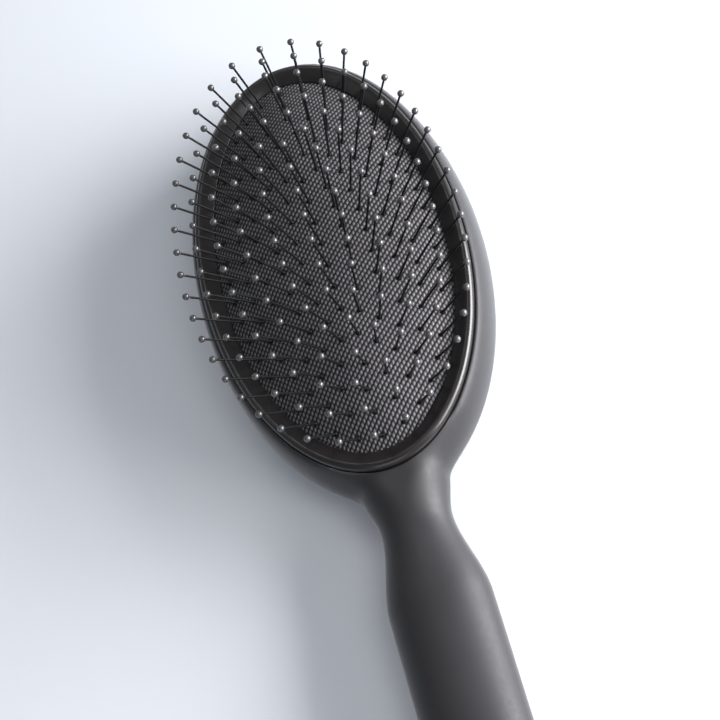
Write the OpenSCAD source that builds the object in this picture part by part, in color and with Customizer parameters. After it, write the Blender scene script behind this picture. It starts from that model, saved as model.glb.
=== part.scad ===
/* [Head] */
// Width of the head across its widest point
head_w = 75.6; // [60:0.2:90]
// Length of the oval head, without the handle
head_l = 129.6; // [100:0.2:150]
// Height of the head's rim above the back
rim_z = 19; // [14:0.5:26]
// Rounding of the lip around the rim
lip_r = 3; // [1:0.1:5]
// Rounding of the edge of the back
back_r = 16; // [6:0.5:20]
// Height of the widest line of the side wall
waist_z = 9.3; // [6:0.1:12]

/* [Handle] */
// Overall length, head tip to handle end
overall_l = 246.8; // [210:0.2:280]
// Width of the neck at its narrowest
neck_w = 18; // [14:0.2:24]
// Distance of the narrowest point below the head's centre
neck_y = 74; // [68:0.5:90]
// Width of the neck where it leaves the head
root_w = 22.8; // [18:0.2:32]
// Thickness of the neck
neck_t = 15.2; // [11:0.2:20]
// Width of the grip at its widest
grip_w = 25.6; // [20:0.2:32]
// Thickness of the grip
grip_t = 18.6; // [14:0.2:24]
// Distance of the widest grip below the head's centre
grip_y = 95.5; // [92:0.5:125]
// Width of the grip just before its rounded end
end_w = 25.2; // [16:0.2:30]

/* [Bezel ring] */
// Half width of the ring's inner edge
in_a = 29.7; // [24:0.1:34]
// Half length of the ring's inner edge
in_b = 56.5; // [45:0.1:62]
// Width of the ring
ring_w = 5.1; // [3:0.1:7]
// Gap between the ring and the body
ring_gap = 0.2; // [0.1:0.05:0.5]
// Height of the ring's crest above the rim
crest_h = 1.9; // [1:0.1:3]

/* [Cushion] */
// Rise of the dome above the ring's inner edge
dome_h = 8; // [3:0.1:12]
// Thickness of the woven facing
facing_t = 0.35; // [0.2:0.05:0.8]
// Thickness of the rubber cushion
rubber_t = 1.2; // [0.8:0.1:2.5]
// Depth of the air chamber's floor above the back
floor_z = 3.2; // [2:0.1:6]
// Length of the flat crest along the middle of the dome, as inset per inset of width
crest_k = 1.13; // [1:0.01:1.3]

/* [Pins] */
// Length of a pin from the facing to the centre of its ball
pin_l = 14.8; // [10:0.1:20]
// Diameter of a pin's shaft
pin_d = 0.6; // [0.5:0.05:1.2]
// Diameter of the ball tip
ball_d = 1.8; // [1.2:0.05:2.6]
// Diameter of the hole that each pin passes through
hole_d = 1.15; // [0.9:0.05:1.6]
// Diameter of the flat head behind the cushion
foot_d = 2.6; // [1.6:0.1:3.2]
// Thickness of the flat head behind the cushion
foot_t = 0.5; // [0.3:0.05:1]
// Sideways lean of a pin per mm from the middle, across
fan_x = 0.0306; // [0:0.0002:0.05]
// Sideways lean of a pin per mm from the middle, along
fan_y = 0.00835; // [0:0.0002:0.02]

/* [Hidden] */
$fn = 48;
tip_y = head_l / 2;
end_y = tip_y - overall_l;
round_l = 12;
// length over which the neck widens towards the head, and how sharply it blends into the oval
flare_l = 12;
blend = 5;
back_cut = 0.15;
edge_z = rim_z - 0.4;
pocket_z = rim_z - 4;
around = 72;
// each loop of pins: half width, number of pins, share of a step it is turned
LOOPS = [[6.2, 20, 0.5], [11.7, 25, 0], [16.9, 30, 0.5], [21.9, 36, 0], [26.8, 42, 0.5]];
row_n = 7;
row_step = 6.6;

function clamp01(v) = min(1, max(0, v));
function ease(v) = let (c = clamp01(v)) c * c * (3 - 2 * c);
function mix(a, b, s) = a + (b - a) * s;
function quarter(v) = let (c = 1 - clamp01(v)) sqrt(1 - c * c);

// half width of the head's oval at y
function oval_w(y) = abs(y) >= tip_y ? 0 : head_w / 2 * sqrt(1 - pow(y / tip_y, 2));

// half width of the neck and grip at y
function stem_w(y) =
    y > -neck_y
        ? mix(neck_w, root_w, ease((y + neck_y) / flare_l)) / 2 * ease((-12 - y) / 26)
        : mix(mix(neck_w, grip_w, ease((-neck_y - y) / (grip_y - neck_y))), end_w,
              ease((-grip_y - y) / (-grip_y - end_y - round_l))) / 2
          * (y < end_y + round_l ? sqrt(max(0, 1 - pow((end_y + round_l - y) / round_l, 2))) : 1);

// half width of the whole outline at y
function body_w(y) = pow(pow(oval_w(y), blend) + pow(stem_w(y), blend), 1 / blend);

// distance of a point inside the outline from its edge
function edge_far(x, y) =
    let (q = norm([x / (head_w / 2), y / tip_y]),
         r = norm([x, y]),
         ray = q < 0.02 ? head_w / 2 : (1 - min(q, 1)) * r / q,
         slope = y < end_y + round_l ? 0 : (body_w(y + 0.05) - body_w(y - 0.05)) / 0.1,
         side = (body_w(y) - abs(x)) / sqrt(1 + slope * slope))
    mix(ray, side, ease((-30 - y) / 20));

// height of the upper and the lower surface, and how wide their edges are rounded, at y
function top_z(y) =
    mix(mix(rim_z, waist_z + neck_t / 2, ease((-63 - y) / 13)), waist_z + grip_t / 2,
        ease((-neck_y - y) / (grip_y - neck_y)))
    - (y < -grip_y ? 0.6 * ease((-grip_y - y) / 70) : 0);
function low_z(y) =
    mix(mix(-back_cut, waist_z - neck_t / 2, ease((-56 - y) / 20)), waist_z - grip_t / 2,
        ease((-neck_y - y) / (grip_y - neck_y)));
function top_r(y) = mix(lip_r, body_w(y), ease((-52 - y) / 24));
function low_r(y) = mix(min(back_r, head_w / 3), body_w(y), ease((-44 - y) / 30));

// in the rounded end of the handle the thickness closes with the width
function end_s(y) = y < end_y + round_l
    ? sqrt(max(0, 1 - pow((end_y + round_l - y) / round_l, 2))) : 1;

function skin(x, y, up) =
    let (d = edge_far(x, y))
    up ? waist_z + (top_z(y) - waist_z) * quarter(d / top_r(y)) * end_s(y)
       : waist_z - (waist_z - low_z(y)) * quarter(d / low_r(y)) * end_s(y);

// stations along the body, head tip to handle end
STATIONS = concat(
    [for (i = [1:17]) tip_y * cos(i * 8.1)],
    [for (i = [0:22]) -49.5 - i * 2.4],
    [for (i = [1:9]) -102.3 - i * 7.5],
    [for (i = [1:6]) end_y + round_l - round_l * sin(i * 14)]);
SIDES = 48;

module loft_body() {
    n = len(STATIONS);
    points = concat(
        [for (y = STATIONS) for (j = [0:SIDES - 1])
            let (t = 360 * j / SIDES, x = body_w(y) * cos(t)) [x, y, skin(x, y, t < 180)]],
        [[0, tip_y, waist_z], [0, end_y, waist_z]]);
    function at(i, j) = i * SIDES + j % SIDES;
    faces = concat(
        [for (i = [0:n - 2]) for (j = [0:SIDES - 1]) [at(i, j), at(i + 1, j), at(i + 1, j + 1)]],
        [for (i = [0:n - 2]) for (j = [0:SIDES - 1]) [at(i, j), at(i + 1, j + 1), at(i, j + 1)]],
        [for (j = [0:SIDES - 1]) [n * SIDES, at(0, j), at(0, j + 1)]],
        [for (j = [0:SIDES - 1]) [at(n - 1, j + 1), at(n - 1, j), n * SIDES + 1]]);
    polyhedron(points, faces);
}

// point on the oval that lies o outside the ring's inner edge, inside it when o is negative
function oval(o, t) = [(in_a + o) * cos(t), (in_b + (o < 0 ? crest_k : 1) * o) * sin(t)];

// sweeps a profile of [o, z] points round the ovals; closed rings have no caps
module oval_sweep(profile, closed, n) {
    m = len(profile);
    points = [for (j = [0:n - 1]) for (k = [0:m - 1])
        let (p = oval(profile[k][0], 360 * j / n)) [p[0], p[1], profile[k][1]]];
    function at(j, k) = (j % n) * m + k % m;
    last = closed ? m - 1 : m - 2;
    sides = concat(
        [for (j = [0:n - 1]) for (k = [0:last]) [at(j, k), at(j + 1, k), at(j + 1, k + 1)]],
        [for (j = [0:n - 1]) for (k = [0:last]) [at(j, k), at(j + 1, k + 1), at(j, k + 1)]]);
    caps = closed ? [] : [[for (j = [n - 1:-1:0]) at(j, 0)], [for (j = [0:n - 1]) at(j, m - 1)]];
    polyhedron(points, concat(sides, caps));
}

// height of the dome where the oval lies o inside the ring's inner edge
function dome_z(o) = edge_z + dome_h * (1 - pow(1 + min(o, 0) / in_a, 2));
DOME = [for (i = [0:9]) -in_a * (1 - max(0.02, i / 10))];

module oval_block(o, z0, z1) {
    translate([0, 0, z0])
        linear_extrude(z1 - z0)
            polygon([for (j = [0:95]) oval(o, 360 * j / 96)]);
}

// places its children at a pin's root on the facing, leaning the way that pin leans
module lean(p, o) {
    v = [fan_x * p[0], fan_y * p[1], 1];
    translate([p[0], p[1], dome_z(o)])
        rotate([0, acos(1 / norm(v)), atan2(v[1], v[0])])
            children();
}

// places its children at every pin of a loop
module on_loop(k) {
    a = LOOPS[k][0];
    n = LOOPS[k][1];
    for (i = [0:n - 1])
        lean(even(a, (i + LOOPS[k][2]) / n), a - in_a)
            children();
}

module on_row() {
    for (i = [0:row_n - 1])
        lean([0, (i - (row_n - 1) / 2) * row_step], -in_a)
            children();
}

// lengths along an oval up to each of its marks, for spacing pins evenly
MARKS = 90;
function marks(a, b) = [for (i = 0, s = 0; i <= MARKS;
    s = s + norm([a * (cos(360 * (i + 1) / MARKS) - cos(360 * i / MARKS)),
                  b * (sin(360 * (i + 1) / MARKS) - sin(360 * i / MARKS))]),
    i = i + 1) [s, 360 * i / MARKS]];

// point at share f of the way round the oval of half width a
function even(a, f) =
    let (b = in_b + crest_k * (a - in_a),
         table = marks(a, b),
         t = lookup(f * table[MARKS][0], table))
    [a * cos(t), b * sin(t)];

module pin() {
    under = facing_t + rubber_t + 0.55;
    translate([0, 0, -under - foot_t])
        cylinder(d = foot_d, h = foot_t, $fn = 16);
    translate([0, 0, -under - foot_t / 2])
        cylinder(d = pin_d, h = under + foot_t / 2 + pin_l, $fn = 16);
    translate([0, 0, pin_l])
        sphere(d = ball_d, $fn = 24);
}

module pin_hole() {
    translate([0, 0, -facing_t - rubber_t - 2])
        cylinder(d = hole_d, h = facing_t + rubber_t + 4, $fn = 16);
}

module handle_body() {
    color([0.16, 0.15, 0.17])
    difference() {
        loft_body();
        translate([-head_w, end_y - 10, -5])
            cube([2 * head_w, overall_l + 20, 5]);
        oval_block(ring_w + ring_gap, pocket_z, rim_z + 5);
        oval_block(0.8, floor_z, pocket_z + 1);
    }
}

module bezel_ring() {
    w = ring_w;
    c = rim_z + crest_h;
    color([0.05, 0.05, 0.06])
    oval_sweep([
        [0, edge_z + 0.15], [0.35, edge_z + 0.6], [1.2, edge_z + 1.15], [2.6, c - 0.45],
        [3.3, c - 0.1], [3.9, c], [4.5, c - 0.22], [w - 0.15, c - 0.75], [w, c - 1.35],
        [w, pocket_z + 1.3], [1.2, pocket_z + 1.3], [1.2, edge_z + 0.02], [0.1, edge_z + 0.02]],
        true, 96);
}

module cushion_rubber() {
    top = facing_t + 0.02;
    color([0.08, 0.08, 0.08])
    difference() {
        oval_sweep(concat(
            [for (o = DOME) [o, dome_z(o) - top]],
            [[0, edge_z - top], [0.95, edge_z - top], [1.05, edge_z - top - 0.2],
             [1.05, pocket_z + 1.25], [ring_w - 0.1, pocket_z + 1.25],
             [ring_w - 0.1, pocket_z + 0.02], [-0.4, pocket_z + 0.02],
             [-0.4, dome_z(-0.4) - top - rubber_t]],
            [for (i = [8:-1:0]) [DOME[i], dome_z(DOME[i]) - top - rubber_t]]), false, around);
        every_pin()
            pin_hole();
    }
}

module woven_facing() {
    color([0.2, 0.2, 0.21])
    difference() {
        oval_sweep(concat(
            [for (o = DOME) [o, dome_z(o)]],
            [[0, edge_z], [0.95, edge_z], [0.95, edge_z - facing_t], [0, edge_z - facing_t]],
            [for (i = [9:-1:0]) [DOME[i], dome_z(DOME[i]) - facing_t]]), false, around);
        every_pin()
            pin_hole();
    }
}

module every_pin() {
    on_row()
        children();
    for (k = [0:4])
        on_loop(k)
            children();
}

module pins_centre_row() {
    color([0.04, 0.04, 0.05])
    on_row()
        pin();
}

module pins_loop(k) {
    color([0.04, 0.04, 0.05])
    on_loop(k)
        pin();
}

handle_body();
bezel_ring();
cushion_rubber();
woven_facing();
pins_centre_row();
pins_loop(0);  // pins_loop_1
pins_loop(1);  // pins_loop_2
pins_loop(2);  // pins_loop_3
pins_loop(3);  // pins_loop_4
pins_loop(4);  // pins_loop_5
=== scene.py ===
import math

import bpy
import bmesh
import numpy as np
from mathutils import Matrix, Vector


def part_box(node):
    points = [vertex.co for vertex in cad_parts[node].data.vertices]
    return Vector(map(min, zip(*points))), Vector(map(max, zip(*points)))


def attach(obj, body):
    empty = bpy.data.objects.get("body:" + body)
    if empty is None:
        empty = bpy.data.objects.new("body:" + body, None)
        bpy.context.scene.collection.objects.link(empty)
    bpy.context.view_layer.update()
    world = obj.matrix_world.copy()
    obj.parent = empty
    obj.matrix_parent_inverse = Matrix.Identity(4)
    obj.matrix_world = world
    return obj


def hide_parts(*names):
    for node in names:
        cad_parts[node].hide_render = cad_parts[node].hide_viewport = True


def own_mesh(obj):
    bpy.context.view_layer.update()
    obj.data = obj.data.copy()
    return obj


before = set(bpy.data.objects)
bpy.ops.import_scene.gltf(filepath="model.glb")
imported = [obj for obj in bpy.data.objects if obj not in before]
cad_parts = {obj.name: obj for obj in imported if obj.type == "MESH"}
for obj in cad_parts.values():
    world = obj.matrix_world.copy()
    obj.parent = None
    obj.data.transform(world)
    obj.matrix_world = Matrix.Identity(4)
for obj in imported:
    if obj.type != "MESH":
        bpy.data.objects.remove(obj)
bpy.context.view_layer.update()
MM = 0.001

# ---------------------------------------------- sizes in millimetres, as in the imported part


def corners(node):
    """Lowest and highest corner of a CAD node."""
    lo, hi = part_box(node)
    return np.array(lo) / MM, np.array(hi) / MM


BODY_LO, BODY_HI = corners("handle_body")
RING_HI = corners("bezel_ring")[1]
FACE_HI = corners("woven_facing")[1]

HEAD_A = BODY_HI[0]                    # half width of the head
TIP_Y = BODY_HI[1]                     # tip of the head
END_Y = BODY_LO[1]                     # end of the handle
RIM_Z = BODY_HI[2]                     # rim of the head
CREST_Z = RING_HI[2]                   # highest line of the bezel ring
EDGE_Z = RIM_Z - 0.4                   # where the facing meets the ring
SEAT_Z = RIM_Z - 4                     # ledge that the cushion's flange lies on
CHAMBER_Z = 3.2                        # floor of the air chamber
CHAMBER_OUT = 0.8                      # the chamber's wall, outwards from the ring's opening

RING_W = 5.1                           # width of the bezel ring
RING_FOOT_Z = RIM_Z - 2.7              # lower face of the ring
IN_A = RING_HI[0] - RING_W             # half width of the ring's opening
IN_B = RING_HI[1] - RING_W             # half length of the ring's opening
SEAT_GAP = 0.2                         # room between the ring and the side of its recess
RIM_ROUND = 0.30                       # rounded edge of the recess

DOME_H = FACE_HI[2] - EDGE_Z           # rise of the cushion
DOME_K = 1.13                          # length of a loop shrinks this much faster than its width
FACING_T = 0.33                        # thickness of the woven facing
RUBBER_T = 1.2                         # thickness of the rubber
RUBBER_Z = -FACING_T - 0.03            # top of the rubber, from the dome's surface
REACH = 0.9                            # how far the facing and the rubber reach in under the ring

WAIST_Z = 9.3                          # height where the side of the body stands upright
LOW_Z = -0.15                          # the back is cut flat at zero, so its edge is crisp
LIP_R = 3.0                            # rounding of the head's upper edge
BACK_R = 16.0                          # rounding of the head's lower edge
NECK_W, NECK_T, NECK_Y = 18.0, 15.2, 74.0      # width, thickness, and place below the head's middle
ROOT_W = 22.8                          # width of the stem where it runs into the head
FLARE_L = 12.0                         # length of the stem's flare above the neck
BLEND = 5                              # higher is a tighter corner between head and stem
GRIP_W, GRIP_T, GRIP_Y = 25.6, 18.6, 95.5      # the same for the widest part of the grip
END_W = 25.2                           # width of the handle near its end
ROUND_L = 12.0                         # length of the rounded end
TOP_FALL = 0.6                         # how much thinner the handle gets towards its end

# stretches of the brush where one shape turns into the next: start below the head's middle, length
STEM_GROWS = (12, 26)
EDGE_TURNS = (30, 20)
BACK_ROUNDS = (44, 30)
TOP_ROUNDS = (52, 24)
BACK_RISES = (56, 20)
TOP_DROPS = (63, 13)
NECK_TO_GRIP = (NECK_Y, GRIP_Y - NECK_Y)
GRIP_TO_END = (GRIP_Y, -GRIP_Y - END_Y - ROUND_L)
GRIP_THINS = (GRIP_Y, 70)

PIN_L = 14.8                           # from the facing to the middle of the ball
PIN_R = 0.3
BALL_R = 0.9
FAN_X, FAN_Y = 0.0306, 0.00835         # lean of a pin for each millimetre away from the middle
THREAD = 1.18                          # pitch of the woven ribs

ROW_PINS, ROW_PITCH = 7, 6.6           # the row along the middle
# each loop of pins: half width of its oval, number of pins, turn in shares of the pitch
LOOPS = {
    "pins_loop_1": (6.2, 20, 0.5),
    "pins_loop_2": (11.7, 25, 0.0),
    "pins_loop_3": (16.9, 30, 0.5),
    "pins_loop_4": (21.9, 36, 0.0),
    "pins_loop_5": (26.8, 42, 0.5),
}

# ---------------------------------------------- shape of the moulded body


def ease(v):
    """Smooth step from 0 to 1."""
    c = np.clip(v, 0, 1)
    return c * c * (3 - 2 * c)


def mix(a, b, s):
    return a + (b - a) * s


def along(y, stretch):
    """0 before a stretch of the brush, 1 past it."""
    start, length = stretch
    return ease((-start - y) / length)


def quarter(v):
    """Quarter round from 0 at the edge to 1."""
    c = 1 - np.clip(v, 0, 1)
    return np.sqrt(np.maximum(0, 1 - c * c))


def end_s(y):
    """Rounds the handle's end: 1 along the handle, 0 at its last point."""
    c = np.clip((END_Y + ROUND_L - y) / ROUND_L, 0, 1)
    return np.sqrt(1 - c * c)


def oval_w(y):
    return HEAD_A * np.sqrt(np.maximum(0, 1 - (y / TIP_Y) ** 2))


def stem_w(y):
    upper = mix(NECK_W, ROOT_W, ease((y + NECK_Y) / FLARE_L)) / 2 * along(y, STEM_GROWS)
    grip = mix(NECK_W, GRIP_W, along(y, NECK_TO_GRIP))
    lower = mix(grip, END_W, along(y, GRIP_TO_END)) / 2 * end_s(y)
    return np.where(y > -NECK_Y, upper, lower)


def body_w(y):
    """Half width of the body."""
    return (oval_w(y) ** BLEND + stem_w(y) ** BLEND) ** (1 / BLEND)


def edge_far(x, y):
    """Distance from the outline: along a ray in the head, square to the side along the handle."""
    q = np.hypot(x / HEAD_A, y / TIP_Y)
    least, step = 0.02, 0.05
    ray = (1 - np.minimum(q, 1)) * np.hypot(x, y) / np.maximum(q, least)
    ray = np.where(q < least, HEAD_A, ray)
    slope = (body_w(y + step) - body_w(y - step)) / (2 * step)
    slope = np.where(y < END_Y + ROUND_L, 0.0, slope)
    side = (body_w(y) - np.abs(x)) / np.sqrt(1 + slope * slope)
    return mix(ray, side, along(y, EDGE_TURNS))


def top_z(y):
    z = mix(RIM_Z, WAIST_Z + NECK_T / 2, along(y, TOP_DROPS))
    return mix(z, WAIST_Z + GRIP_T / 2, along(y, NECK_TO_GRIP)) - TOP_FALL * along(y, GRIP_THINS)


def low_z(y):
    z = mix(LOW_Z, WAIST_Z - NECK_T / 2, along(y, BACK_RISES))
    return mix(z, WAIST_Z - GRIP_T / 2, along(y, NECK_TO_GRIP))


def skin(x, y, up):
    """Height of the body's surface, its top or its back."""
    d = edge_far(x, y)
    top_r = mix(LIP_R, body_w(y), along(y, TOP_ROUNDS))
    low_r = mix(BACK_R, body_w(y), along(y, BACK_ROUNDS))
    high = WAIST_Z + (top_z(y) - WAIST_Z) * quarter(d / top_r) * end_s(y)
    low = np.maximum(WAIST_Z - (WAIST_Z - low_z(y)) * quarter(d / low_r) * end_s(y), 0.0)
    return np.where(up, high, low)


def oval(o, t):
    """Point at angle t on the oval that lies o outwards from the ring's opening."""
    return (IN_A + o) * np.cos(t), (IN_B + np.where(o < 0, DOME_K, 1.0) * o) * np.sin(t)


def dome_z(o):
    """Height of the facing, o outwards from the ring's opening."""
    return EDGE_Z + DOME_H * (1 - (1 + np.minimum(o, 0) / IN_A) ** 2)


# ---------------------------------------------- mesh helpers

SHARP = 40                             # edges bent by more degrees than this are shaded sharp


def shade(me, sharp):
    me.polygons.foreach_set("use_smooth", [True] * len(me.polygons))
    me.set_sharp_from_angle(angle=math.radians(sharp))
    me.update()


def make(name, verts_mm, faces, sharp=SHARP):
    me = bpy.data.meshes.new(name)
    me.from_pydata([tuple(float(c) * MM for c in v) for v in verts_mm], [], faces)
    me.validate()
    shade(me, sharp)
    ob = bpy.data.objects.new(name, me)
    bpy.context.scene.collection.objects.link(ob)
    return ob


def weld(ob, dist_mm=0.0005):
    """Joins points that coincide and turns every face outwards."""
    bm = bmesh.new()
    bm.from_mesh(ob.data)
    bmesh.ops.remove_doubles(bm, verts=bm.verts, dist=dist_mm * MM)
    bmesh.ops.dissolve_degenerate(bm, edges=bm.edges, dist=dist_mm * MM)
    bmesh.ops.recalc_face_normals(bm, faces=bm.faces)
    bm.to_mesh(ob.data)
    bm.free()
    shade(ob.data, SHARP)
    return ob


def sweep(name, profile, n):
    """Carries a closed profile of [outwards from the opening, height] round the ovals in n steps."""
    m = len(profile)
    verts = []
    for t in np.arange(n) * 2 * math.pi / n:
        for o, z in profile:
            x, y = oval(np.float64(o), t)
            verts.append((x, y, z))
    faces = []
    for j in range(n):
        for k in range(m):
            jj, kk = (j + 1) % n, (k + 1) % m
            faces.append((j * m + k, j * m + kk, jj * m + kk, jj * m + k))
    return weld(make(name, verts, faces))


def wear(ob, *mats):
    ob.data.materials.clear()
    for mat in mats:
        ob.data.materials.append(mat)


# ---------------------------------------------- body: one moulding with the seat for the ring

NIL = 1e-6
HEAD_STEPS, TIP_STEPS, END_STEPS = 145, 9, 20
HANDLE_STEP = 1.1                      # millimetres


def stations(rim_b):
    """Places along the brush, from the tip to the end of the handle, closest where the outline turns."""
    ys = list(rim_b * np.cos(np.radians(np.linspace(0, 180, HEAD_STEPS))))
    ys += list(TIP_Y - (TIP_Y - rim_b) * np.linspace(0, 1, TIP_STEPS)[1:-1] ** 1.8)
    ys += list(np.arange(-rim_b - 0.9, END_Y + ROUND_L, -HANDLE_STEP))
    ys += list(END_Y + ROUND_L - ROUND_L * np.sin(np.radians(np.linspace(0, 88.5, END_STEPS))))
    ys = np.array(sorted(set(round(float(v), 4) for v in ys), reverse=True))
    return ys[(ys < TIP_Y - 0.0005) & (ys > END_Y + 0.0002)]


def build_body():
    seat = RING_W + SEAT_GAP
    rim = seat + RIM_ROUND
    rim_a, rim_b = IN_A + rim, IN_B + rim
    ys = stations(rim_b)
    inner = 16                                  # columns from the outline to the recess
    under = 28                                  # columns across half the back
    w = body_w(ys)
    open_w = rim_a * np.sqrt(np.maximum(0, 1 - (ys / rim_b) ** 2))
    even_steps = np.linspace(0, 1, inner + 1)
    edge_steps = 1 - np.cos(np.radians(90 * even_steps))
    shares = 0.55 * edge_steps + 0.45 * even_steps      # closer together at the rounded outer edge
    inwards = [w - (w - open_w) * share for share in shares]
    # each column: x over all stations, and whether it is on top
    cols = [(x, True) for x in inwards]
    cols += [(-x, True) for x in inwards[::-1]]
    cols += [(-w * math.cos(math.pi * k / (2 * under)), False) for k in range(1, 2 * under)]
    m, n = len(cols), len(ys)
    grid = np.zeros((n, m, 3))
    for k, (x, up) in enumerate(cols):
        grid[:, k] = np.stack([x, ys, skin(x, ys, up)], 1)
    faces = []
    for i in range(n - 1):
        opening = open_w[i] + open_w[i + 1] > NIL
        for k in range(m):
            if k == inner and opening:
                continue
            kk = (k + 1) % m
            faces.append((i * m + k, i * m + kk, (i + 1) * m + kk, (i + 1) * m + k))
    verts = list(map(tuple, grid.reshape(-1, 3)))
    verts += [(0, TIP_Y, WAIST_Z), (0, END_Y, WAIST_Z)]
    for k in range(m):
        kk = (k + 1) % m
        faces.append((n * m, k, kk))
        faces.append((n * m + 1, (n - 1) * m + kk, (n - 1) * m + k))

    # the seat: from the rim's inner loop down to the ledge, the air chamber's wall and its floor
    loop = [i for i in range(n) if open_w[i] > NIL]
    right = [i * m + inner for i in loop]
    left = [i * m + inner + 1 for i in loop[::-1]]
    ring = [(loop[0] - 1) * m + inner] + right + [(loop[-1] + 1) * m + inner] + left
    base = np.array([verts[v] for v in ring])
    angle = np.arctan2(base[:, 1] / rim_b, base[:, 0] / rim_a)
    edge = [(seat + 0.10, RIM_Z - 0.07), (seat, RIM_Z - RIM_ROUND)]
    previous = ring
    for o, z in edge + [(seat, SEAT_Z), (CHAMBER_OUT, SEAT_Z), (CHAMBER_OUT, CHAMBER_Z)]:
        x, y = oval(np.float64(o), angle)
        now = list(range(len(verts), len(verts) + len(ring)))
        verts += [(float(a), float(b), z) for a, b in zip(x, y)]
        for j in range(len(now)):
            jj = (j + 1) % len(now)
            faces.append((previous[j], previous[jj], now[jj], now[j]))
        previous = now
    faces.append(previous)
    return weld(make("soft_touch_body", verts, faces))


body = build_body()
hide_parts("handle_body")

# ---------------------------------------------- bezel ring


def spline(points, steps):
    """Catmull-Rom curve through the points."""
    p = np.array([points[0]] + points + [points[-1]], float)
    out = []
    for i in range(1, len(p) - 2):
        a, b, c, d = p[i - 1:i + 3]
        for s in np.arange(steps) / steps:
            turn = (2 * a - 5 * b + 4 * c - d) * s * s + (3 * b - a - 3 * c + d) * s ** 3
            out.append(0.5 * ((2 * b) + (c - a) * s + turn))
    out.append(p[-2])
    return [tuple(v) for v in out]


# the ring's section: a small step at the facing, the slope, the crest, the outer side and the foot
STEP = [(0.0, EDGE_Z + 0.14), (0.0, EDGE_Z + 0.42), (0.05, EDGE_Z + 0.53)]
SLOPE = [(0.16, EDGE_Z + 0.60), (1.2, EDGE_Z + 1.24), (2.3, CREST_Z - 0.48), (3.1, CREST_Z - 0.15)]
CREST = [(3.75, CREST_Z), (4.3, CREST_Z - 0.14), (4.75, CREST_Z - 0.52)]
OUTSIDE = [(RING_W - 0.06, CREST_Z - 1.0), (RING_W, CREST_Z - 1.5)]
FOOT = [(RING_W, RING_FOOT_Z), (1.2, RING_FOOT_Z), (1.2, EDGE_Z + 0.02), (0.1, EDGE_Z + 0.02)]

bezel = sweep("bezel", STEP + spline(SLOPE + CREST + OUTSIDE, 5) + FOOT, 256)
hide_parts("bezel_ring")

# ---------------------------------------------- where the pins stand


def even(a, share):
    """Point at a share of the way round the oval of half width a."""
    b = IN_B + DOME_K * (a - IN_A)
    t = np.radians(np.arange(91) * 4.0)
    step = np.hypot(np.diff(a * np.cos(t)), np.diff(b * np.sin(t)))
    s = np.concatenate([[0], np.cumsum(step)])
    tt = np.interp(share * s[-1], s, t)
    return a * math.cos(tt), b * math.sin(tt)


# each pin: x, y and how far outwards from the ring's opening it stands
PINS = {"pins_centre_row": [(0.0, (i - ROW_PINS // 2) * ROW_PITCH, -IN_A) for i in range(ROW_PINS)]}
for node, (a, n, turn) in LOOPS.items():
    PINS[node] = [(*even(a, (i + turn) / n), a - IN_A) for i in range(n)]
ALL_PINS = np.array([p for group in PINS.values() for p in group])

# ---------------------------------------------- facing and rubber, drawn down at every pin

# depth, radius and steepness of the two parts of the dimple at a pin
DIMPLE = ((0.20, 0.7, 4), (0.10, 1.9, 2))
HOLE_SHADE_R, HOLE_SHADE_SOFT = 0.85, 0.35         # dark ring round a pin, the hole in the cloth drawn as painted shade, and how softly it ends
SLIT = 0.004                           # width of the innermost oval, as a share of the opening's


def build_shell(name, high, low, rings, n):
    """A thin skin that follows the dome and reaches in under the ring, from low to high above the dome.

    Its attribute is 1 at a pin and 0 away from it; the woven material reads it to paint shade into the
    hole round each pin.
    """
    s = np.linspace(0.0, 1.0, rings + 1)
    s[0] = SLIT
    out = list(-IN_A * (1 - s)) + [REACH * 0.5, REACH]
    t = np.arange(n) * 2 * math.pi / n
    verts, hole_shade = [], []
    for o in out:
        x, y = oval(np.float64(o), t)
        d = np.hypot(x[:, None] - ALL_PINS[None, :, 0], y[:, None] - ALL_PINS[None, :, 1]).min(1)
        z = float(dome_z(o))
        for depth, radius, power in DIMPLE:
            z = z - depth * np.exp(-(d / radius) ** power)
        # painted shade: how dark the hole round the nearest pin is drawn in the cloth
        hole_shade.append(np.clip((HOLE_SHADE_R - d) / HOLE_SHADE_SOFT, 0, 1))
        verts.append(np.stack([x, y, z], 1))
    verts = np.array(verts).reshape(-1, 3)
    under = len(verts)
    points = np.concatenate([verts + [0, 0, high], verts + [0, 0, low]])
    top = []
    for k in range(len(out) - 1):
        for j in range(n):
            jj = (j + 1) % n
            top.append((k * n + j, (k + 1) * n + j, (k + 1) * n + jj, k * n + jj))
    # the innermost oval is a thin slit: close it across
    for j in range(n // 2 - 1):
        a, b = (j - n // 4) % n, (j + 1 - n // 4) % n
        c, d = (n // 2 - (j + 1) + n // 4) % n, (n // 2 - j + n // 4) % n
        across = tuple(dict.fromkeys((a, b, c, d)))
        if len(across) > 2:
            top.append(across)
    faces = top + [tuple(under + v for v in face[::-1]) for face in top]
    last = under - n
    for j in range(n):
        jj = (j + 1) % n
        faces.append((last + j, under + last + j, under + last + jj, last + jj))
    ob = make(name, points, faces, sharp=60)
    attribute = ob.data.attributes.new("pin_hole_shade", "FLOAT", "POINT")
    attribute.data.foreach_set("value", np.tile(np.concatenate(hole_shade), 2).astype(np.float32))
    return ob


facing_grid = ((92, 500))
facing = build_shell("woven_cushion_face", 0.0, -FACING_T, *facing_grid)
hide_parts("woven_facing")

rubber_grid = ((60, 280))
cushion = build_shell("cushion_dome", RUBBER_Z, RUBBER_Z - RUBBER_T, *rubber_grid)

# ---------------------------------------------- the cushion's flange, clamped under the ring

WALL_IN, WALL_OUT = -0.4, 1.05         # inner and outer side of the upright wall
WALL_TOP = EDGE_Z + RUBBER_Z - RUBBER_T - 0.05
PLATE_OUT = RING_W - 0.1               # outer side of the plate
PLATE_LOW = SEAT_Z + 0.02
PLATE_TOP = SEAT_Z + 1.25
SOFT = 0.1                             # chamfer of every edge

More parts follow.
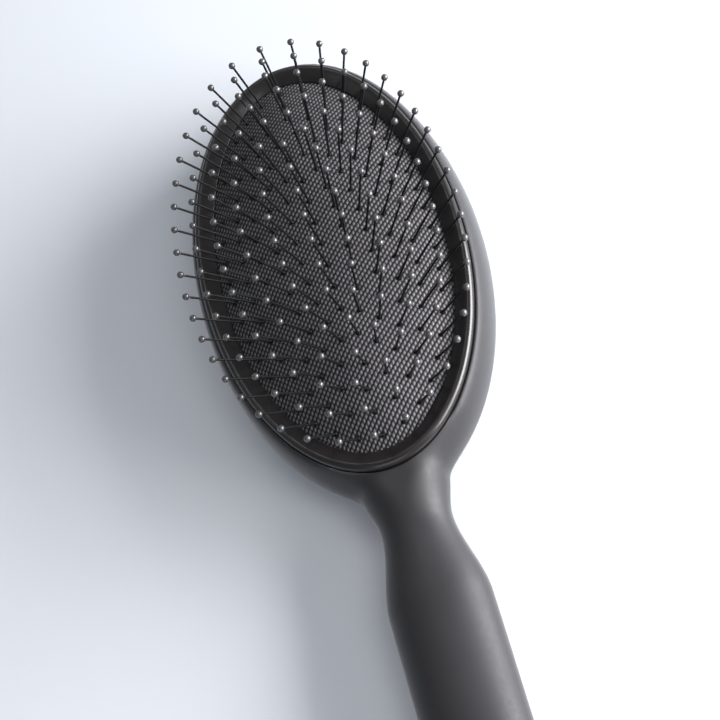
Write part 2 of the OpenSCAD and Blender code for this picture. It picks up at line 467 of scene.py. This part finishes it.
flange = sweep("cushion_flange", [
    (WALL_IN + SOFT, WALL_TOP),
    (WALL_IN, WALL_TOP - SOFT),
    (WALL_IN, PLATE_LOW + SOFT),
    (WALL_IN + SOFT, PLATE_LOW),
    (PLATE_OUT - SOFT, PLATE_LOW),
    (PLATE_OUT, PLATE_LOW + SOFT),
    (PLATE_OUT, PLATE_TOP - SOFT),
    (PLATE_OUT - SOFT, PLATE_TOP),
    (WALL_OUT + SOFT, PLATE_TOP),
    (WALL_OUT, PLATE_TOP + SOFT),
    (WALL_OUT, WALL_TOP - SOFT),
    (WALL_OUT - SOFT, WALL_TOP),
], 192)
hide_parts("cushion_rubber")

# ---------------------------------------------- materials

NOISE = (0.3, 0.7)                     # most of a noise texture lies between these


class Nodes:
    """A material under construction; every texture is laid out in the object's own space."""

    def __init__(self, name):
        self.mat = bpy.data.materials.new(name)
        self.mat.use_nodes = True
        self.tree = self.mat.node_tree
        self.bsdf = self.tree.nodes["Principled BSDF"]
        self.place = self.tree.nodes.new("ShaderNodeTexCoord").outputs["Object"]

    def link(self, a, b):
        self.tree.links.new(a, b)

    def put(self, **values):
        """Sets constants on the shader."""
        for key, value in values.items():
            self.bsdf.inputs[key.replace("_", " ")].default_value = value

    def finish(self, **sockets):
        """Links what varies over the surface to the shader."""
        for key, value in sockets.items():
            self.link(value, self.bsdf.inputs[key.replace("_", " ")])
        return self.mat

    def math(self, operation, *values):
        node = self.tree.nodes.new("ShaderNodeMath")
        node.operation = operation
        for slot, value in enumerate(values):
            if isinstance(value, (int, float)):
                node.inputs[slot].default_value = value
            else:
                self.link(value, node.inputs[slot])
        return node.outputs[0]

    def wave(self, turns):
        """1 at every whole turn, 0 halfway between."""
        swing = self.math("COSINE", self.math("MULTIPLY", turns, 2 * math.pi))
        return self.math("MULTIPLY_ADD", swing, 0.5, 0.5)

    def noise(self, scale, detail, rough, distortion=0.0):
        node = self.tree.nodes.new("ShaderNodeTexNoise")
        values = {"Scale": scale, "Detail": detail, "Roughness": rough, "Distortion": distortion}
        for key, value in values.items():
            node.inputs[key].default_value = value
        self.link(self.place, node.inputs["Vector"])
        return node.outputs["Fac"]

    def ramp(self, value, low_high, a, b):
        """Maps a value between low and high to a..b, numbers or colours."""
        low, high = low_high
        if isinstance(a, (int, float)):
            node = self.tree.nodes.new("ShaderNodeMapRange")
            node.clamp = True
            self.link(value, node.inputs["Value"])
            for key, number in zip(("From Min", "From Max", "To Min", "To Max"), (low, high, a, b)):
                node.inputs[key].default_value = number
            return node.outputs["Result"]
        node = self.tree.nodes.new("ShaderNodeValToRGB")
        for stop, position, colour in zip(node.color_ramp.elements, (low, high), (a, b)):
            stop.position = position
            stop.color = (*colour, 1)
        self.link(value, node.inputs["Fac"])
        return node.outputs["Color"]

    def bump(self, height, distance, strength, normal=None):
        node = self.tree.nodes.new("ShaderNodeBump")
        node.inputs["Strength"].default_value = strength
        node.inputs["Distance"].default_value = distance
        self.link(height, node.inputs["Height"])
        if normal is not None:
            self.link(normal, node.inputs["Normal"])
        return node.outputs["Normal"]


def soft_touch():
    """Matt rubbery coating: faint clouds, fine grain, a soft sheen at grazing angles."""
    m = Nodes("soft_touch_charcoal")
    cloud = m.noise(scale=28, detail=3, rough=0.55)
    grain = m.noise(scale=5200, detail=1.5, rough=0.6)
    speck = m.noise(scale=900, detail=2, rough=0.6)
    m.put(Sheen_Weight=0.7, Sheen_Roughness=0.35, Specular_IOR_Level=0.5)
    patches = m.ramp(cloud, NOISE, 0.47, 0.56)
    return m.finish(
        Base_Color=m.ramp(cloud, (0.3, 0.72), (0.017, 0.016, 0.018), (0.023, 0.022, 0.025)),
        Roughness=m.math("ADD", patches, m.ramp(speck, (0.35, 0.65), -0.02, 0.03)),
        Normal=m.bump(grain, 0.00002, 0.35, m.bump(speck, 0.00003, 0.12)))


def bezel_gloss():
    """Satin black moulding with a slight orange peel and small scuffs."""
    m = Nodes("bezel_satin_black")
    cloud = m.noise(scale=45, detail=3, rough=0.6)
    peel = m.noise(scale=700, detail=1, rough=0.5)
    scuff = m.noise(scale=260, detail=4, rough=0.75, distortion=1.5)
    m.put(Specular_IOR_Level=0.44, Coat_Weight=0.25, Coat_Roughness=0.2)
    patches = m.ramp(cloud, NOISE, 0.27, 0.31)
    return m.finish(
        Base_Color=m.ramp(cloud, NOISE, (0.010, 0.0085, 0.0085), (0.014, 0.0115, 0.0115)),
        Roughness=m.math("ADD", patches, m.ramp(scuff, (0.55, 0.75), 0.0, 0.03)),
        Normal=m.bump(peel, 0.00002, 0.05))


STRETCH_X, STRETCH_Y = 0.065, 0.037    # how much closer the ribs lie at the edge, where the dome is steep
WANDER = 0.06                          # how far a rib strays, in shares of its pitch
BEAD_SLANT = -0.5                      # each bead lies aslant on its rib
FIBRES = 4.0                           # twisted strands across one rib


def woven():
    """Fine mesh cloth stretched over the dome: ribs of beads at 45 degrees to the brush, dark between."""
    m = Nodes("woven_mesh_cloth")
    where = m.tree.nodes.new("ShaderNodeSeparateXYZ")
    m.link(m.place, where.inputs[0])
    x, y = where.outputs[0], where.outputs[1]
    qx = m.math("DIVIDE", x, IN_A * MM)
    qy = m.math("DIVIDE", y, IN_B * MM)
    q2 = m.math("ADD", m.math("MULTIPLY", qx, qx), m.math("MULTIPLY", qy, qy))
    x = m.math("MULTIPLY", x, m.math("MULTIPLY_ADD", q2, STRETCH_X, 1.0))
    y = m.math("MULTIPLY", y, m.math("MULTIPLY_ADD", q2, STRETCH_Y, 1.0))

    # turns of the weave across its ribs and along them
    turns = math.sqrt(0.5) / (THREAD * MM)
    wander = m.ramp(m.noise(scale=90, detail=2, rough=0.5), NOISE, -WANDER, WANDER)
    across = m.math("ADD", m.math("MULTIPLY", m.math("SUBTRACT", y, x), turns), wander)
    along_rib = m.math("ADD", m.math("MULTIPLY", m.math("ADD", x, y), turns), wander)
    side = m.math("SUBTRACT", m.math("FRACT", m.math("ADD", across, 0.5)), 0.5)
    slant = m.math("MULTIPLY_ADD", side, BEAD_SLANT, along_rib)
    rib = m.wave(across)
    bead = m.wave(slant)
    strand = m.wave(m.math("ADD", slant, m.math("MULTIPLY", across, FIBRES)))
    knot = m.math("MULTIPLY_ADD", m.math("POWER", bead, 0.7), 0.76, 0.24)
    thread = m.math("MULTIPLY", m.math("POWER", rib, 0.72), knot)

    # the thread's brightness: worn patches, painted shade in the hole round each pin, fine fibres and
    # twisted strands
    fibre = m.noise(scale=4200, detail=2, rough=0.6)
    worn = m.noise(scale=60, detail=3, rough=0.6)
    hole_shade = m.tree.nodes.new("ShaderNodeAttribute")
    hole_shade.attribute_name = "pin_hole_shade"
    tone = m.math("MULTIPLY", thread, m.ramp(worn, NOISE, 0.86, 1.08))
    # painted shade: the cloth goes dark in the hole round each pin
    tone = m.math("MULTIPLY", tone, m.math("SUBTRACT", 1.0, hole_shade.outputs["Fac"]))
    tone = m.math("MULTIPLY", tone, m.ramp(fibre, NOISE, 0.85, 1.12))
    tone = m.math("MULTIPLY", tone, m.math("MULTIPLY_ADD", strand, 0.14, 0.88))
    m.put(Specular_IOR_Level=0.4, Sheen_Weight=0.05, Sheen_Roughness=0.4)
    return m.finish(
        Base_Color=m.ramp(tone, (0.08, 0.85), (0.0015, 0.0015, 0.0015), (0.185, 0.175, 0.187)),
        Roughness=m.ramp(thread, (0.0, 1.0), 0.9, 0.40),
        Normal=m.bump(thread, 0.00022, 0.9, m.bump(fibre, 0.00002, 0.3)))


def nylon(name, rough, coat, low, high, shine):
    """Moulded nylon of the pins; the balls have a glossy coat on it."""
    m = Nodes(name)
    cloud = m.noise(scale=320, detail=2, rough=0.5)
    fine = m.noise(scale=2600, detail=2, rough=0.5)
    m.put(Coat_Weight=coat, Coat_Roughness=0.22, Coat_IOR=1.6, Specular_IOR_Level=shine)
    return m.finish(
        Base_Color=m.ramp(cloud, NOISE, low, high),
        Roughness=m.ramp(fine, NOISE, rough, rough + 0.08),
        Normal=m.bump(fine, 0.00001, 0.15))


def rubber():
    m = Nodes("cushion_rubber_black")
    cloud = m.noise(scale=120, detail=3, rough=0.6)
    grain = m.noise(scale=2200, detail=2, rough=0.6)
    m.put(Specular_IOR_Level=0.3)
    return m.finish(
        Base_Color=m.ramp(cloud, NOISE, (0.018, 0.018, 0.019), (0.028, 0.028, 0.029)),
        Roughness=m.ramp(cloud, NOISE, 0.7, 0.82),
        Normal=m.bump(grain, 0.00004, 0.3))


def floor_paint():
    m = Nodes("pale_floor")
    cloud = m.noise(scale=1.4, detail=2, rough=0.5)
    m.put(Roughness=0.75, Specular_IOR_Level=0.2)
    return m.finish(Base_Color=m.ramp(cloud, NOISE, (0.78, 0.82, 0.87), (0.84, 0.87, 0.91)))


wear(body, soft_touch())
wear(bezel, bezel_gloss())
wear(facing, woven())
rubber_mat = rubber()
wear(cushion, rubber_mat)
wear(flange, rubber_mat)
shaft_mat = nylon("pin_nylon_black", rough=0.46, coat=0.0, shine=0.2,
                  low=(0.005, 0.006, 0.006), high=(0.008, 0.010, 0.009))
ball_mat = nylon("pin_ball_gloss", rough=0.28, coat=0.5, shine=0.8,
                 low=(0.040, 0.037, 0.039), high=(0.052, 0.048, 0.050))

# ---------------------------------------------- pins

SHAFT, BALL = 0, 1                     # material slots of a pin
FOOT_Z = -2.1                          # top of a pin's foot, from the facing
FOOT_T, FOOT_R, FOOT_EDGE = 0.5, 1.3, 0.08
COLLAR_R = 0.52                        # thicker root of the shaft, where it comes through the facing
SHAFT_Z = 0.45                         # where the root has run out into the shaft
TAPER = 0.06                           # how much thinner the shaft is at the ball, as a share
SHAFT_STEPS = 7


def pin_profile():
    """(radius, height, slot) up a pin: foot, shaft with its root at the facing, ball."""
    low = FOOT_Z - FOOT_T
    outline = [(0.0, low), (FOOT_R - FOOT_EDGE, low), (FOOT_R, low + FOOT_EDGE),
               (FOOT_R, FOOT_Z - FOOT_EDGE), (FOOT_R - FOOT_EDGE, FOOT_Z),
               (0.40, FOOT_Z), (PIN_R, FOOT_Z + 0.15), (PIN_R, -0.55),
               (COLLAR_R, -0.42), (COLLAR_R, 0.02), (0.47, 0.14), (0.37, 0.24), (PIN_R + 0.01, SHAFT_Z)]
    rows = [(r, h, SHAFT) for r, h in outline]
    for i in range(1, SHAFT_STEPS):
        f = i / SHAFT_STEPS
        rows.append((PIN_R * (1 - TAPER * f), SHAFT_Z + f * (PIN_L - SHAFT_Z - BALL_R), SHAFT))
    neck = math.asin(PIN_R / BALL_R)
    rows.append((PIN_R - 0.01, PIN_L - BALL_R * math.cos(neck) - 0.14, SHAFT))
    steps = 12
    for i in range(steps + 1):
        a = neck + (math.pi - neck) * i / steps
        rows.append((BALL_R * math.sin(a) if i < steps else 0.0, PIN_L - BALL_R * math.cos(a), BALL))
    return rows


def build_pins(node):
    """All pins of one node as one mesh, each leaning outwards by where it stands."""
    rows = pin_profile()
    sides = 18
    circle = np.arange(sides) * 2 * math.pi / sides
    verts, faces, slots = [], [], []
    for x, y, o in PINS[node]:
        v = np.array([FAN_X * x, FAN_Y * y, 1.0])
        v /= np.linalg.norm(v)
        side = np.cross([0, 1, 0], v)
        side /= np.linalg.norm(side)
        up = np.cross(v, side)
        root = np.array([x, y, float(dome_z(o))])
        rings = []
        for r, h, slot in rows:
            first = len(verts)
            turns = [0.0] if r == 0.0 else circle
            verts += [root + v * h + side * (r * math.cos(a)) + up * (r * math.sin(a)) for a in turns]
            rings.append((list(range(first, len(verts))), slot))
        for (low, _), (high, slot) in zip(rings, rings[1:]):
            for j in range(sides):
                jj = (j + 1) % sides
                if len(low) == 1:
                    faces.append((low[0], high[jj], high[j]))
                elif len(high) == 1:
                    faces.append((low[j], low[jj], high[0]))
                else:
                    faces.append((low[j], low[jj], high[jj], high[j]))
                slots.append(slot)
    ob = make(node.replace("pins_", "pin_set_"), verts, faces, sharp=50)
    wear(ob, shaft_mat, ball_mat)
    ob.data.polygons.foreach_set("material_index", slots)
    return ob


pin_sets = {}
for node in PINS:
    ob = build_pins(node)
    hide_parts(node)
    pin_sets[node] = ob

# ---------------------------------------------- what rides on what

for ob in (body, bezel, facing, cushion, flange):
    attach(ob, "brush_body")
for node, ob in pin_sets.items():
    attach(ob, node.replace("pins_", ""))
for ob in (facing, cushion):
    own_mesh(ob)

# ---------------------------------------------- floor and light

FLOOR = 3.0                            # half the side of the floor, in metres
me = bpy.data.meshes.new("floor")
me.from_pydata([(-FLOOR, -FLOOR, 0), (FLOOR, -FLOOR, 0), (FLOOR, FLOOR, 0), (-FLOOR, FLOOR, 0)],
               [], [(0, 1, 2, 3)])
floor = bpy.data.objects.new("floor", me)
bpy.context.scene.collection.objects.link(floor)
wear(floor, floor_paint())

# soft lights: place and target in metres, size in metres, power in watts, colour
LIGHTS = {
    "key": ((0.72, 0.00, 0.22), (0, -0.02, 0.02), (0.62, 0.36), 15.0, (0.985, 0.98, 1.0)),
    "edge": ((0.64, -0.44, 0.28), (0, -0.03, 0.02), (0.26, 0.26), 3.6, (1.0, 0.99, 0.98)),
    "window": ((0.39, -0.28, 0.76), (0, -0.02, 0.02), (0.38, 0.38), 1.05, (1.0, 0.98, 0.99)),
    "front": ((-0.10, -0.80, 0.40), (0, -0.04, 0.02), (0.5, 0.3), 0.9, (0.97, 0.98, 1.0)),
    "top": ((-0.07, 0.44, 0.78), (0, 0.02, 0.02), (0.36, 0.14), 0.5, (1.0, 0.95, 0.91)),
    "fill": ((-0.52, 0.14, 0.56), (0, 0.0, 0.02), (0.30, 0.30), 0.15, (1.0, 0.95, 0.93)),
}
for name, (at, target, size, watts, colour) in LIGHTS.items():
    light = bpy.data.lights.new(name, "AREA")
    light.shape = "RECTANGLE"
    light.size, light.size_y = size
    light.energy = watts
    light.color = colour
    ob = bpy.data.objects.new(name, light)
    bpy.context.scene.collection.objects.link(ob)
    ob.location = at
    ob.rotation_mode = "QUATERNION"
    ob.rotation_quaternion = (Vector(target) - Vector(at)).to_track_quat("-Z", "Y")

SKY_COLOUR, SKY_STRENGTH = (0.86, 0.91, 1.0, 1), 0.27
world = bpy.data.worlds.new("studio")
world.use_nodes = True
sky = world.node_tree.nodes["Background"]
sky.inputs["Color"].default_value = SKY_COLOUR
sky.inputs["Strength"].default_value = SKY_STRENGTH
bpy.context.scene.world = world

# ---------------------------------------------- camera

AIM = Vector((-0.0003, -0.0310, 0.0188))          # the point in the middle of the picture, in metres
DISTANCE = 0.4541                                 # from there to the camera, in metres
AZIMUTH, ELEVATION, ROLL = 15.22, 59.89, -34.07   # in degrees
SENSOR, LENS = 36, 91.96                          # in millimetres

cam = bpy.data.cameras.new("camera")
cam.sensor_width = SENSOR
cam.lens = LENS
cam_ob = bpy.data.objects.new("camera", cam)
bpy.context.scene.collection.objects.link(cam_ob)
azimuth, elevation = math.radians(AZIMUTH), math.radians(ELEVATION)
back = Vector((math.sin(azimuth) * math.cos(elevation),
               -math.cos(azimuth) * math.cos(elevation),
               math.sin(elevation)))
level = Vector((0, 0, 1)).cross(back).normalized()
right = Matrix.Rotation(math.radians(ROLL), 3, back) @ level
up = back.cross(right)
axes = Matrix((right, up, back)).transposed().to_4x4()
cam_ob.matrix_world = Matrix.Translation(AIM + back * DISTANCE) @ axes
bpy.context.scene.camera = cam_ob
bpy.context.scene.view_settings.view_transform = "Standard"
